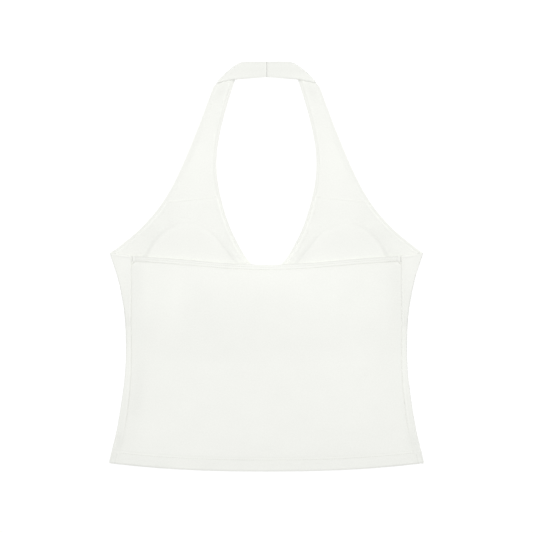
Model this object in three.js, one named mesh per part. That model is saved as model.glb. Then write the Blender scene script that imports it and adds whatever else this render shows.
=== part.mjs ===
// A halter neck crop top in fine stretch jersey, laid flat with its back up.
// Millimetres: X runs across the garment, Y from the hem to the neck, Z up from the surface below.
// The origin is the middle of the garment's outline, on that surface.
//
// The front is cut in one piece with both halter straps. It wraps round the side folds onto the
// back, as far as the side seams, and its strap ends fold over to meet at the back of the neck.
// Each strap is a node of its own, a seam's gap from the front, so that the collision pieces, which
// are made for each node, leave the neck loop open.
import * as THREE from 'three';

// Cloth, and the spaces between the pieces
const CLOTH = 1.0;
const BAND_CLOTH = 1.8;      // two layers of cloth
const SEAM_GAP = 0.3;
const LAYER_GAP = 0.4;       // between panels that lie on each other
const NECK_FOLD_GAP = 0.6;   // inside the fold at each side of the neck

// Main sizes, laid flat
const HALF_LENGTH = 237.2;   // from the middle to the neck band's top, and to the hem
const HEM_HALF_WIDTH = 182.7;
const HEM_RISE = 9.8;        // how much higher the hem is at the side folds than at the middle
const HEM_BEND = 2.4;
const UNDERARM = 15.5;       // height of the underarm corners
const NECK_BOTTOM = -8;      // lowest point of the front's neckline, behind the back
const NECK_AT_UNDERARM = 27.1;
const NECK_BEND = 0.57;
const NECK_SLANT = 1.15;      // sideways distance for each 1 mm square to the neckline
const BACK_BAND_DEPTH = 6.2;

// Half of the laid width at the side folds
const SIDE_FOLD = [
  { height: -228, halfWidth: HEM_HALF_WIDTH },
  { height: -183, halfWidth: 172.3 },
  { height: -127, halfWidth: 164.2 },
  { height: -90, halfWidth: 162.8 },     // waist
  { height: -53, halfWidth: 164.5 },
  { height: -16, halfWidth: 171.3 },
  { height: UNDERARM, halfWidth: 181.4 },
];

// Side seams, which lie on the back
const SIDE_SEAM = [
  { height: -230, halfWidth: 173.5 },
  { height: -182, halfWidth: 163.2 },
  { height: -128, halfWidth: 157.6 },
  { height: -70, halfWidth: 156.8 },
  { height: UNDERARM, halfWidth: 156.4 },
];

// Upper edge of the back, and of the front's wings beside it
const BACK_TOP = [
  { across: 0, height: 1.9 },
  { across: 42.3, height: 3.5 },
  { across: 79.8, height: 6.6 },
  { across: 117.5, height: 9.7 },
  { across: 156.9, height: 12.2 },
  { across: 181.5, height: UNDERARM },
];

// Sections across a strap, from its neckline edge to its armhole edge, up to the fold beside the
// neck, which bows outwards. Past that fold the armhole edge is the neck band's lower edge.
const STRAP = [
  { neckX: NECK_AT_UNDERARM, neckY: UNDERARM, armX: 181.4, armY: UNDERARM, bow: 0 },
  { neckX: 33.0, neckY: 26.0, armX: 170.7, armY: 23.2, bow: 0 },
  { neckX: 41.3, neckY: 43.0, armX: 148.3, armY: 41.7, bow: 0 },
  { neckX: 49.0, neckY: 64.8, armX: 127.2, armY: 64.8, bow: 0 },
  { neckX: 54.8, neckY: 88.0, armX: 111.8, armY: 88.0, bow: 0 },
  { neckX: 57.8, neckY: 111.1, armX: 100.2, armY: 111.1, bow: 0 },
  { neckX: 57.2, neckY: 134.3, armX: 90.1, armY: 134.3, bow: 0 },
  { neckX: 53.1, neckY: 158.4, armX: 80.7, armY: 157.4, bow: 0 },
  { neckX: 45.6, neckY: 187.5, armX: 71.7, armY: 180.6, bow: 0.2 },
  { neckX: 38.6, neckY: 210.0, armX: 64.3, armY: 200.8, bow: 0.7 },
  { neckX: 33.6, neckY: 224.5, armX: 61.0, armY: 208.5, bow: 1.4 },
  { neckX: 29.0, neckY: 236.0, armX: 56.6, armY: 212.6, bow: 1.8 },
];

// Sections of the neck band, from that fold to the seam at the back of the neck, and how far the
// band has come down from over the strap to the surface, from 0 to 1
const NECK_BAND = [
  { neckX: 29.0, neckY: 236.0, armX: 56.6, armY: 212.6, bow: 1.8, down: 0 },
  { neckX: 28.2, neckY: 236.4, armX: 46.0, armY: 214.9, bow: 1.0, down: 0 },
  { neckX: 27.0, neckY: 236.8, armX: 36.5, armY: 216.3, bow: 0.4, down: 0 },
  { neckX: 21.5, neckY: HALF_LENGTH, armX: 26.5, armY: 216.9, bow: 0, down: 0.35 },
  { neckX: 12.5, neckY: HALF_LENGTH, armX: 14.0, armY: 217.9, bow: 0, down: 0.9 },
  { neckX: SEAM_GAP / 2, neckY: HALF_LENGTH, armX: SEAM_GAP / 2, armY: 218.8, bow: 0, down: 1 },
];

// Bust lining, on the inside of the front. Its top edge climbs towards the neckline, and is
// given as a count of strap sections at each end.
const LINING_INSET = 4.2;    // from the front's armhole and neckline edges
const LINING_SIDE_INSET = 6.5;
const LINING_BOTTOM = -62;
const LINING_TOP = { atArmhole: 3.44, atNeckline: 3.72 };

// Bust pads, between the front and the lining: outline radius by angle about each pad's middle
const PAD_MIDDLE = { x: 88, y: -2 };
const PAD_THICKNESS = 3.0;
const PAD_EDGE = 0.8;
const PAD_CROWN = 6;         // a higher power makes a flatter top and a steeper rim
const PAD_OUTLINE = [
  { degrees: 0, radius: 54.6 },
  { degrees: 30, radius: 52.3 },
  { degrees: 60, radius: 52.9 },
  { degrees: 82, radius: 54.1 },
  { degrees: 107, radius: 50.4 },
  { degrees: 138, radius: 46.4 },
  { degrees: 154, radius: 46.9 },
  { degrees: 174, radius: 53.6 },
  { degrees: 190, radius: 58.5 },
  { degrees: 212, radius: 56.5 },
  { degrees: 245, radius: 49.5 },
  { degrees: 275, radius: 47.0 },
  { degrees: 315, radius: 51.0 },
  { degrees: 360, radius: 54.6 },
];

// Steps in height: how the lining comes down outside a pad, and how the back comes down at the
// sides, below the pads and between them
const LINING_STEP = { reach: 10, width: 14 };
const BACK_RISE_ACROSS = { end: 175, width: 36 };
const BACK_RISE_UP = { start: -85, width: 40 };
const LINING_RISE_UP = { start: -90, width: 22 };
const BACK_SAG = { share: 0.6, width: 30 };
const BACK_CLEARANCE = 0.5;  // over the pads, for the soft folds

// Largest soft folds of the back, on each half. A negative depth is a ridge.
const BACK_FOLDS = [
  { x: 113, middle: -30, width: 16, length: 45, depth: 0.45, lean: 0.10 },
  { x: 78, middle: -40, width: 20, length: 55, depth: -0.35, lean: 0.16 },
  { x: 42, middle: -28, width: 15, length: 38, depth: 0.30, lean: 0.12 },
  { x: 142, middle: -90, width: 14, length: 65, depth: -0.40, lean: -0.04 },
];

// Mesh steps
const COLUMNS = 8;
const BODY_ROWS = 13;
const NECK_ROWS = 4;
const STRAP_ROWS = 2;        // for each section of the table
const WING_COLUMNS = 3;
const FOLD_STEPS = 5;
const BACK_COLUMNS = 28;
const BACK_ROWS = 22;
const LINING_COLUMNS = 17;
const LINING_LOW_ROWS = 7;
const LINING_HIGH_ROWS = 10;
const PAD_SIDES = 32;
const PAD_RINGS = 6;

const frontMiddle = CLOTH / 2;
const layerStep = CLOTH + LAYER_GAP;
const neckFoldRadius = (CLOTH + NECK_FOLD_GAP) / 2;
const padLiftHeight = PAD_THICKNESS + LAYER_GAP;

const { lerp } = THREE.MathUtils;

function smoothStep(value) {
  const t = Math.min(1, Math.max(0, value));
  return t * t * (3 - 2 * t);
}

function evenly(count, make) {
  return Array.from({ length: count + 1 }, (_, index) => make(index / count));
}

// A smooth curve through a table's rows: the named column's value at a place in the key column
function valueAt(rows, key, column, place) {
  let row = 0;
  while (row < rows.length - 2 && place > rows[row + 1][key]) row += 1;
  const slopeAt = (index) => {
    const before = rows[Math.max(0, index - 1)];
    const after = rows[Math.min(rows.length - 1, index + 1)];
    return (after[column] - before[column]) / (after[key] - before[key]);
  };
  const span = rows[row + 1][key] - rows[row][key];
  const t = (place - rows[row][key]) / span;
  const start = slopeAt(row) * span * t * (1 - t) ** 2;
  const end = slopeAt(row + 1) * span * t * t * (1 - t);
  const bend = t * t * (3 - 2 * t);
  return lerp(rows[row][column], rows[row + 1][column], bend) + start - end;
}

// A section of a strap or band table, counted from its first row
function sectionAt(rows, place) {
  const counted = rows.map((row, index) => ({ ...row, index }));
  const names = Object.keys(rows[0]);
  return Object.fromEntries(names.map((name) => [name, valueAt(counted, 'index', name, place)]));
}

const sideFold = (height) => valueAt(SIDE_FOLD, 'height', 'halfWidth', height);
const sideSeam = (height) => valueAt(SIDE_SEAM, 'height', 'halfWidth', height);
const backTop = (across) => valueAt(BACK_TOP, 'across', 'height', Math.abs(across));
const hem = (across) => -HALF_LENGTH + HEM_RISE * (Math.abs(across) / HEM_HALF_WIDTH) ** HEM_BEND;

// Half width of the neckline below the underarm level, or of the same line moved in by an inset
function neckline(height, inset = 0) {
  const bottom = NECK_BOTTOM - inset;
  const share = Math.max(0, (height - bottom) / (UNDERARM - bottom));
  return (NECK_AT_UNDERARM + inset * NECK_SLANT) * share ** NECK_BEND;
}

// Where a row that rises across the garment meets an upright curve
function meeting(halfWidthAt, heightAt) {
  const closerSteps = 6;
  let x = halfWidthAt(0);
  for (let step = 0; step < closerSteps; step += 1) x = halfWidthAt(heightAt(x));
  return { x, y: heightAt(x) };
}

function padRadius(angle) {
  const degrees = THREE.MathUtils.euclideanModulo(THREE.MathUtils.radToDeg(angle), 360);
  return valueAt(PAD_OUTLINE, 'degrees', 'radius', degrees);
}

// How far a pad lifts the lining at a place: 1 over the pad, 0 past the step outside its rim
function padLift(x, y) {
  const dx = Math.abs(x) - PAD_MIDDLE.x;
  const dy = y - PAD_MIDDLE.y;
  const outside = Math.hypot(dx, dy) - padRadius(Math.atan2(dy, dx));
  return smoothStep((LINING_STEP.reach - outside) / LINING_STEP.width);
}

// Height of the middle of the lining's wall
function liningHeight(x, y) {
  return frontMiddle + layerStep + padLiftHeight * padLift(x, y);
}

function softFold(x, y) {
  const depths = BACK_FOLDS.map((fold) => {
    const along = (y - fold.middle) / fold.length;
    const aside = (Math.abs(x) - fold.x - fold.lean * (y - fold.middle)) / fold.width;
    return fold.depth * Math.exp(-aside * aside - along * along);
  });
  return depths.reduce((sum, depth) => sum + depth, 0);
}

// Height of the middle of the back's wall, and of the front's wings beside it
function backHeight(x, y) {
  const overLining = smoothStep((y - LINING_RISE_UP.start) / LINING_RISE_UP.width);
  const inside = smoothStep((BACK_RISE_ACROSS.end - Math.abs(x)) / BACK_RISE_ACROSS.width);
  const above = smoothStep((y - BACK_RISE_UP.start) / BACK_RISE_UP.width);
  const sag = 1 - BACK_SAG.share * Math.exp(-((x / BACK_SAG.width) ** 2));
  const overPads = (padLiftHeight + BACK_CLEARANCE) * inside * above * sag;
  return frontMiddle + layerStep * (1 + overLining) + overPads - softFold(x, y);
}

// A closed wall of even thickness about grids of points on its middle surface.
// Grids that share points are joined there.
function wall(grids, thickness) {
  const points = [];
  const normals = [];
  const known = new Map();
  const indexOf = (point) => {
    const key = [point.x, point.y, point.z].map((value) => Math.round(value * 1000)).join();
    if (!known.has(key)) {
      known.set(key, points.length);
      points.push(point);
      normals.push(new THREE.Vector3());
    }
    return known.get(key);
  };
  const quads = [];
  for (const grid of grids) {
    for (let j = 0; j + 1 < grid.length; j += 1) {
      for (let i = 0; i + 1 < grid[j].length; i += 1) {
        const corners = [grid[j][i], grid[j][i + 1], grid[j + 1][i + 1], grid[j + 1][i]];
        quads.push(corners.map(indexOf));
      }
    }
  }
  const edges = new Map();
  for (const quad of quads) {
    const [a, b, c, d] = quad.map((index) => points[index]);
    const normal = c.clone().sub(a).cross(d.clone().sub(b));
    quad.forEach((index, corner) => {
      const next = quad[(corner + 1) % 4];
      normals[index].add(normal);
      edges.set(`${index},${next}`, [index, next]);
    });
  }
  const position = [];
  for (const side of [1, -1]) {
    points.forEach((point, index) => {
      const normal = normals[index].clone().normalize();
      position.push(...point.clone().addScaledVector(normal, (side * thickness) / 2));
    });
  }
  const faces = [];
  const addQuad = (a, b, c, d) => faces.push(a, b, c, a, c, d);
  const other = points.length;
  for (const [a, b, c, d] of quads) {
    addQuad(a, b, c, d);
    addQuad(d + other, c + other, b + other, a + other);
  }
  for (const [from, to] of edges.values()) {
    if (!edges.has(`${to},${from}`)) addQuad(from + other, to + other, to, from);
  }
  const geometry = new THREE.BufferGeometry();
  geometry.setAttribute('position', new THREE.Float32BufferAttribute(position, 3));
  geometry.setIndex(faces);
  geometry.computeVertexNormals();
  return geometry;
}

// A grid and its mirror image, whose rows are turned round so that it faces the same way
function bothSides(grid) {
  const mirrored = grid.map((row) => row.map((p) => new THREE.Vector3(-p.x, p.y, p.z)).reverse());
  return [grid, mirrored];
}

// Points across a strap or band section, at a height
function acrossSection(section, columns, heightAt) {
  const outward = new THREE.Vector2(section.neckY - section.armY, section.armX - section.neckX);
  outward.normalize();
  return evenly(columns, (t) => {
    const bow = section.bow * 4 * t * (1 - t);
    const x = lerp(section.neckX, section.armX, t) + outward.x * bow;
    const y = lerp(section.neckY, section.armY, t) + outward.y * bow;
    return new THREE.Vector3(x, y, heightAt(x, y));
  });
}

// One row of the front: flat on the surface, round the side fold, and back over it as the wing.
// Its share is how far up it is from the hem to the underarm.
function frontRow(share) {
  const heightAt = (x) => lerp(hem(x), UNDERARM, share);
  const wingHeightAt = (x) => lerp(hem(x), backTop(x), share);
  const fold = meeting(sideFold, heightAt);
  const seam = meeting((height) => sideSeam(height) + SEAM_GAP / 2, wingHeightAt);
  const radius = (backHeight(fold.x, fold.y) - frontMiddle) / 2;
  const axis = fold.x - radius - CLOTH / 2;
  const inner = neckline(heightAt(0));
  const flat = evenly(COLUMNS, (t) => {
    const x = lerp(inner, axis, t);
    return new THREE.Vector3(x, heightAt(x), frontMiddle);
  });
  const around = evenly(FOLD_STEPS, (t) => new THREE.Vector3(
    axis + radius * Math.sin(Math.PI * t),
    lerp(heightAt(axis), wingHeightAt(axis), t),
    frontMiddle + radius * (1 - Math.cos(Math.PI * t)),
  ));
  const wing = evenly(WING_COLUMNS, (t) => {
    const x = lerp(axis, seam.x, t);
    const z = lerp(frontMiddle + 2 * radius, backHeight(seam.x, seam.y), t);
    return new THREE.Vector3(x, wingHeightAt(x), z);
  });
  return { flat, around, wing };
}

function frontBody() {
  const neckShare = (NECK_BOTTOM + HALF_LENGTH) / (UNDERARM + HALF_LENGTH);
  const below = evenly(BODY_ROWS, (t) => t * neckShare);
  const above = evenly(NECK_ROWS, (t) => lerp(neckShare, 1, t)).slice(1);
  return [...below, ...above].map((share) => {
    const { flat, around, wing } = frontRow(share);
    return [...flat, ...around.slice(1), ...wing.slice(1)];
  });
}

// A strap from the underarm to its fold, round that fold, and on to the back of the neck
function frontStrap() {
  const lastSection = STRAP.length - 1;
  const strap = evenly(lastSection * STRAP_ROWS, (t) => (
    acrossSection(sectionAt(STRAP, t * lastSection), COLUMNS, () => frontMiddle)
  ));
  strap[0] = frontRow(1).flat.map((point) => point.setY(point.y + SEAM_GAP));
  const end = STRAP[lastSection];
  const outward = new THREE.Vector3(end.neckY - end.armY, end.armX - end.neckX, 0).normalize();
  const around = evenly(FOLD_STEPS, (t) => strap.at(-1).map((point) => (
    point.clone()
      .addScaledVector(outward, neckFoldRadius * Math.sin(Math.PI * t))
      .setZ(frontMiddle + neckFoldRadius * (1 - Math.cos(Math.PI * t)))
  )));
  const lastBand = NECK_BAND.length - 1;
  const band = evenly(lastBand * STRAP_ROWS, (t) => {
    const section = sectionAt(NECK_BAND, t * lastBand);
    const height = frontMiddle + 2 * neckFoldRadius * (1 - section.down);
    return acrossSection(section, COLUMNS, () => height);
  });
  return [...strap, ...around.slice(1), ...band.slice(1)];
}

function frontPanel() {
  return wall(bothSides(frontBody()), CLOTH);
}

// Rows of points over the whole back between two lines that cross it, moved up by a lift
function backGrid(rows, lowerEdge, upperEdge, lift) {
  return evenly(rows, (share) => {
    const heightAt = (x) => lerp(lowerEdge(x), upperEdge(x), share);
    const seam = meeting((height) => sideSeam(height) - SEAM_GAP / 2, heightAt);
    return evenly(BACK_COLUMNS, (t) => {
      const x = lerp(-seam.x, seam.x, t);
      const y = heightAt(x);
      return new THREE.Vector3(x, y, backHeight(x, y) + lift);
    });
  });
}

function backPanel() {
  const upperEdge = (x) => backTop(x) - BACK_BAND_DEPTH - SEAM_GAP;
  return wall([backGrid(BACK_ROWS, hem, upperEdge, 0)], CLOTH);
}

// The band's underside is level with the back's
function backTopBand() {
  const lowerEdge = (x) => backTop(x) - BACK_BAND_DEPTH;
  return wall([backGrid(1, lowerEdge, backTop, (BAND_CLOTH - CLOTH) / 2)], BAND_CLOTH);
}

// A point of a strap's edge, moved in along its section until it is an inset from the edge
function insetPoint(place, edge, towards) {
  const step = 0.01;
  const pointOf = (index, name) => {
    const section = sectionAt(STRAP, index);
    return new THREE.Vector2(section[`${name}X`], section[`${name}Y`]);
  };
  const point = pointOf(place, edge);
  const tangent = pointOf(place + step, edge).sub(point).normalize();
  const inward = pointOf(place, towards).sub(point).normalize();
  return point.addScaledVector(inward, LINING_INSET / Math.abs(inward.cross(tangent)));
}

// One half of the lining, from its lower edge to its stitched top edge
function liningHalf() {
  const levels = [
    ...evenly(LINING_LOW_ROWS, (t) => lerp(LINING_BOTTOM, NECK_BOTTOM - LINING_INSET, t)),
    ...evenly(NECK_ROWS, (t) => lerp(NECK_BOTTOM - LINING_INSET, UNDERARM, t)).slice(1),
  ];
  const low = levels.map((level) => {
    const inner = neckline(level, LINING_INSET);
    const outer = sideFold(level) - LINING_SIDE_INSET;
    return evenly(LINING_COLUMNS, (t) => {
      const x = lerp(inner, outer, t);
      return new THREE.Vector3(x, level, liningHeight(x, level));
    });
  });
  const high = evenly(LINING_HIGH_ROWS, (share) => {
    const neck = insetPoint(share * LINING_TOP.atNeckline, 'neck', 'arm');
    const arm = insetPoint(share * LINING_TOP.atArmhole, 'arm', 'neck');
    const section = { neckX: neck.x, neckY: neck.y, armX: arm.x, armY: arm.y, bow: 0 };
    return acrossSection(section, LINING_COLUMNS, liningHeight);
  });
  return [...low, ...high.slice(1)];
}

function bustLining() {
  return wall(bothSides(liningHalf()), CLOTH);
}

// A flat-bottomed foam pad with a low crown. A side of -1 mirrors it.
function bustPad(side) {
  const base = CLOTH + LAYER_GAP;
  const crown = evenly(PAD_RINGS, (t) => {
    const radius = Math.cos((Math.PI / 2) * t) ** (1 / 2);
    const rise = PAD_EDGE + (PAD_THICKNESS - PAD_EDGE) * Math.sqrt(1 - radius ** PAD_CROWN);
    return new THREE.Vector2(radius, rise);
  });
  const profile = [new THREE.Vector2(0, 0), new THREE.Vector2(1, 0), ...crown];
  const geometry = new THREE.LatheGeometry(profile, PAD_SIDES);
  geometry.rotateX(Math.PI / 2);
  const position = geometry.getAttribute('position');
  for (let index = 0; index < position.count; index += 1) {
    const x = position.getX(index);
    const y = position.getY(index);
    const radius = padRadius(Math.atan2(y, side * x));
    position.setXY(index, x * radius + side * PAD_MIDDLE.x, y * radius + PAD_MIDDLE.y);
    position.setZ(index, base + position.getZ(index));
  }
  geometry.computeVertexNormals();
  return geometry;
}

const jersey = { color: '#f3f5ef', roughness: 0.85, metalness: 0 };
const foam = { color: '#f6f6f1', roughness: 0.95, metalness: 0 };
const top = new THREE.Group();

function addPiece(name, geometry, finish) {
  const mesh = new THREE.Mesh(geometry, new THREE.MeshStandardMaterial(finish));
  mesh.name = name;
  top.add(mesh);
}

const [rightStrap, leftStrap] = bothSides(frontStrap());
addPiece('front_panel', frontPanel(), jersey);
addPiece('front_strap_left', wall([leftStrap], CLOTH), jersey);
addPiece('front_strap_right', wall([rightStrap], CLOTH), jersey);
addPiece('back_panel', backPanel(), jersey);
addPiece('back_top_band', backTopBand(), jersey);
addPiece('bust_lining', bustLining(), jersey);
addPiece('bust_pad_left', bustPad(-1), foam);
addPiece('bust_pad_right', bustPad(1), foam);

export default top;
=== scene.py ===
# A halter neck crop top in off-white stretch jersey, laid flat with its back up.
import math
from collections import namedtuple

import bmesh
import bpy
from mathutils import Matrix, Vector
from mathutils.bvhtree import BVHTree


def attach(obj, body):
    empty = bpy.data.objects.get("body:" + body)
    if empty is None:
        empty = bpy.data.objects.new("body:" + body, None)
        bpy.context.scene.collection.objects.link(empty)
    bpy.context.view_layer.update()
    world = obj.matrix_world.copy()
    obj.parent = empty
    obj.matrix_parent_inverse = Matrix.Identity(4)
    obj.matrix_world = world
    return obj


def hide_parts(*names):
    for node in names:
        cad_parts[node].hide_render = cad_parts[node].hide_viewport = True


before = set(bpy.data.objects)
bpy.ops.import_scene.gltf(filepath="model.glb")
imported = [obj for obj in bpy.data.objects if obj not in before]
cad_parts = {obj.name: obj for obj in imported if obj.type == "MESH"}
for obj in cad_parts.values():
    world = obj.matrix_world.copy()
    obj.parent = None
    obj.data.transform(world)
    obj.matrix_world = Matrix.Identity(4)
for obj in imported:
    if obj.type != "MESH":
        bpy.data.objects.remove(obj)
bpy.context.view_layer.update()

# Sizes are in millimetres up to the end of each piece, where its mesh is turned to metres.
# X runs across the garment, Y from the hem to the neck, and Z up from the surface below.
MM = 0.001

# Cloth, and how its layers lie
CLOTH = 0.8                 # jersey
CAD_CLOTH = 1.0             # the part's walls, whose upper faces this cloth keeps
LAYER_STEP = 1.4
PAD_LIFT = 3.4
NECK_FOLD_RADIUS = 0.8
FRONT_MIDDLE = CLOTH / 2
RAISED = (CAD_CLOTH - CLOTH) / 2

# Main sizes, laid flat
HALF_LENGTH = 237.2
HEM_HALF_WIDTH = 182.7
HEM_RISE = 9.8
HEM_BEND = 2.4
HEM_DEPTH = 13.3            # from the hem's edge to its main stitch row
HEM_SECOND_ROW = 16.0
HEM_TICK = 7.0              # from the side fold to a second pressed line inside the hem
UNDERARM = 15.5
NECK_BOTTOM = -8.0
NECK_AT_UNDERARM = 27.1
NECK_BEND = 0.57
NECK_SLANT = 1.15
BAND_DEPTH = 6.2            # band along the back's top edge
BAND_CLOTH = 1.8
BAND_END = 151.4            # half of the length of the band that shows, between its end tabs
BAND_SLIT = 155.1           # dark slit between each tab and the side seam
BAND_HALF_LENGTH = 156.5
SEAM_JOG = -69.0            # height at which the side seams' allowances change sides

# Height and half of the laid width at the side folds
SIDE_FOLD = [
    (-228, HEM_HALF_WIDTH),
    (-183, 172.3),
    (-127, 164.2),
    (-90, 162.8),
    (-53, 164.5),
    (-16, 171.3),
    (UNDERARM, 181.4),
]

# Height and half width at the side seams, which lie on the back
SIDE_SEAM = [
    (-230, 173.5),
    (-182, 163.2),
    (-128, 157.6),
    (-70, 156.8),
    (UNDERARM, 156.4),
]

# Distance from the middle and height of the back's upper edge
BACK_TOP = [
    (0, 1.9),
    (42.3, 3.5),
    (79.8, 6.6),
    (117.5, 9.7),
    (156.9, 12.2),
    (181.5, UNDERARM),
]

Section = namedtuple("Section", "neck_x neck_y arm_x arm_y bow down")

# Sections across a strap, from its neckline edge to its armhole edge, up to the fold beside the neck
STRAP = [
    Section(NECK_AT_UNDERARM, UNDERARM, 181.4, UNDERARM, 0, 0),
    Section(33.0, 26.0, 170.7, 23.2, 0, 0),
    Section(41.3, 43.0, 148.3, 41.7, 0, 0),
    Section(49.0, 64.8, 127.2, 64.8, 0, 0),
    Section(54.8, 88.0, 111.8, 88.0, 0, 0),
    Section(57.8, 111.1, 100.2, 111.1, 0, 0),
    Section(57.2, 134.3, 90.1, 134.3, 0, 0),
    Section(53.1, 158.4, 80.7, 157.4, 0, 0),
    Section(45.6, 187.5, 71.7, 180.6, 0.2, 0),
    Section(38.6, 210.0, 64.3, 200.8, 0.7, 0),
    Section(33.6, 224.5, 61.0, 208.5, 1.4, 0),
    Section(29.0, 236.0, 56.6, 212.6, 1.8, 0),
]

# Sections of the neck band, from that fold to the seam at the back of the neck, with how far the
# band has come down from over the strap to the surface
NECK_BAND = [
    Section(29.0, 236.0, 56.6, 212.6, 1.8, 0),
    Section(28.2, 236.4, 46.0, 214.9, 1.0, 0),
    Section(27.0, 236.8, 36.5, 216.5, 0.4, 0),
    Section(21.5, HALF_LENGTH, 26.5, 217.3, 0, 0.35),
    Section(12.5, HALF_LENGTH, 14.0, 218.4, 0, 0.9),
    Section(0.0, HALF_LENGTH, 0.0, 219.4, 0, 1),
]

# Bust lining
LINING_INSET = 3.4
LINING_SIDE_INSET = 6.5
LINING_BOTTOM = -62.0
LINING_TOP_AT_ARMHOLE = 3.44    # counted in strap sections
LINING_TOP_AT_NECKLINE = 3.72
LINING_RUN = 66.0               # from the underarm up to its top edge

# Bust pads: degrees about each pad's middle, and radius there
PAD_MIDDLE = (88.0, -2.0)
PAD_THICKNESS = 3.0
PAD_BASE = 1.4              # of its underside, above the surface
PAD_GAP = 0.3               # between it and the lining
PAD_EDGE = 0.8
PAD_CROWN = 6
PAD_OUTLINE = [
    (0, 54.6),
    (30, 52.3),
    (60, 52.9),
    (82, 54.1),
    (107, 50.4),
    (138, 46.4),
    (154, 46.9),
    (174, 53.6),
    (190, 58.5),
    (212, 56.5),
    (245, 49.5),
    (275, 47.0),
    (315, 51.0),
    (360, 54.6),
]

RIM_INSET = 1.4             # of the pads' rims, so that the crease round them shows at that outline

# A soft patch of something: its middle, its size, how much there is of it, and how it leans
Patch = namedtuple("Patch", "x y width length amount lean")

# Soft folds of the back, also in the part's solids on each half. A negative depth is a ridge.
BACK_FOLDS = [
    Patch(113, -30, 16, 45, 0.45, 0.10),
    Patch(78, -40, 20, 55, -0.35, 0.16),
    Patch(42, -28, 15, 38, 0.30, 0.12),
    Patch(142, -90, 14, 65, -0.40, -0.04),
]

# Smaller creases of the back, as they lie in the photo
BACK_CREASES = [
    Patch(-5, -15, 2.6, 10, 0.18, 0.05),
    Patch(10, -17, 2.8, 12, 0.22, 0.12),
    Patch(-48, -16, 2.8, 13, 0.30, 0.10),
    Patch(-56, -14, 2.4, 10, 0.20, 0.16),
    Patch(50, -20, 3.0, 18, 0.34, -0.22),
    Patch(60, -16, 2.6, 13, 0.24, -0.20),
    Patch(100, -40, 5.0, 32, 0.26, 0.02),
    Patch(-100, -40, 5.0, 32, 0.22, -0.02),
    Patch(-60, -110, 26, 9, 0.22, 0),
    Patch(35, -95, 34, 8, 0.20, 0),
    Patch(70, -196, 50, 8, 0.28, 0),
    Patch(-120, -150, 9, 40, 0.22, 0.08),
    Patch(128, -170, 8, 36, 0.20, -0.06),
]

# Painted light and shade: soft patches where the cloth's colour is drawn a little whiter or greyer for how
# the light falls as the layers under it change
PAINTED_LIGHT_AND_SHADE = [
    Patch(0, -4, 85, 24, 0.037, 0),
    Patch(-106, -38, 12, 32, 0.018, 0),
    Patch(-72, -46, 14, 30, -0.010, 0),
    Patch(62, -45, 45, 40, 0.014, 0),
    Patch(-153, -60, 12, 60, -0.016, 0),
    Patch(150, -40, 13, 44, -0.020, 0),
    Patch(-20, -98, 60, 14, -0.006, 0),
    Patch(90, -120, 40, 42, 0.012, 0),
    Patch(95, -198, 50, 10, -0.008, 0),
    Patch(0, -222, 160, 16, -0.020, 0),
    Patch(-72, -215, 52, 7, 0.013, 0),
    Patch(0, -218, 34, 6, 0.008, 0),
    Patch(0, 228, 70, 10, -0.040, 0),
    Patch(-12, 226, 9, 5, -0.012, 0),
    Patch(22, 230, 18, 6, -0.008, 0),
    Patch(-135, 34, 20, 16, -0.024, 0),
    Patch(135, 34, 20, 16, -0.020, 0),
    Patch(-170.5, -204, 6, 13, -0.056, 0.25),
    Patch(170.5, -204, 6, 13, -0.046, -0.25),
    Patch(-151, -150, 10, 46, -0.038, 0.14),
    Patch(152, -155, 9, 40, -0.008, -0.14),
    Patch(112, -62, 28, 40, 0.008, 0),
]

# The same painted light and shade on both sides, as it lies on the right one
PAINTED_LIGHT_AND_SHADE_BOTH_SIDES = [
    Patch(78, 117, 20, 45, 0.025, 0),
    Patch(53, 202, 6, 10, -0.034, -0.4),
    Patch(116, 60, 12, 18, -0.012, 0.6),
    Patch(43, 30, 6, 24, -0.012, -0.5),
    Patch(149, -12, 7, 26, -0.014, 0),
    Patch(168, 0, 8, 16, 0.018, 0),
    Patch(42, 10, 8, 9, -0.046, 0),
    Patch(152, 3.2, 2.4, 1.6, 0.06, -2.0),
    Patch(90, 26, 34, 17, -0.012, 0),
    # A painted shadow in the notch where the strap's inner edge goes under the neck band
    Patch(38.0, 215.2, 2.0, 1.6, -0.18, 0),
]
PAINTED_LIGHT_AND_SHADE += PAINTED_LIGHT_AND_SHADE_BOTH_SIDES
PAINTED_LIGHT_AND_SHADE += [patch._replace(x=-patch.x, lean=-patch.lean) for patch in PAINTED_LIGHT_AND_SHADE_BOTH_SIDES]

# How close the grid lines lie beside an edge or seam, and, as from, to and step, above the hem's edge
EDGE_STEPS = (0, 0.4, 0.8, 1.2, 1.6, 2.1, 2.7, 3.4, 4.1, 4.8, 5.8)
HEM_ZONES = [(0, 3, 0.5), (11, 18, 0.5)]

FAR = 99.0                  # farther from an edge, or higher, than anything that counts


def smooth(value):
    t = min(1.0, max(0.0, value))
    return t * t * (3 - 2 * t)


def mix(start, end, share):
    return start + (end - start) * share


def bell(distance, width):
    return math.exp(-(distance / width) ** 2)


def curve(rows, place, column=1):
    """The smooth curve through a table's rows, as the part's source has it"""
    row = 0
    while row < len(rows) - 2 and place > rows[row + 1][0]:
        row += 1

    def slope(index):
        before = rows[max(0, index - 1)]
        after = rows[min(len(rows) - 1, index + 1)]
        return (after[column] - before[column]) / (after[0] - before[0])

    span = rows[row + 1][0] - rows[row][0]
    t = (place - rows[row][0]) / span
    bend = t * t * (3 - 2 * t)
    ends = slope(row) * span * t * (1 - t) ** 2 - slope(row + 1) * span * t * t * (1 - t)
    return mix(rows[row][column], rows[row + 1][column], bend) + ends


def section_at(sections, place):
    counted = [(index, *section) for index, section in enumerate(sections)]
    return Section(*(curve(counted, place, column) for column in range(1, 7)))


def section_width(section):
    return math.hypot(section.arm_x - section.neck_x, section.arm_y - section.neck_y)


def side_fold(height):
    return curve(SIDE_FOLD, height)


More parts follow.
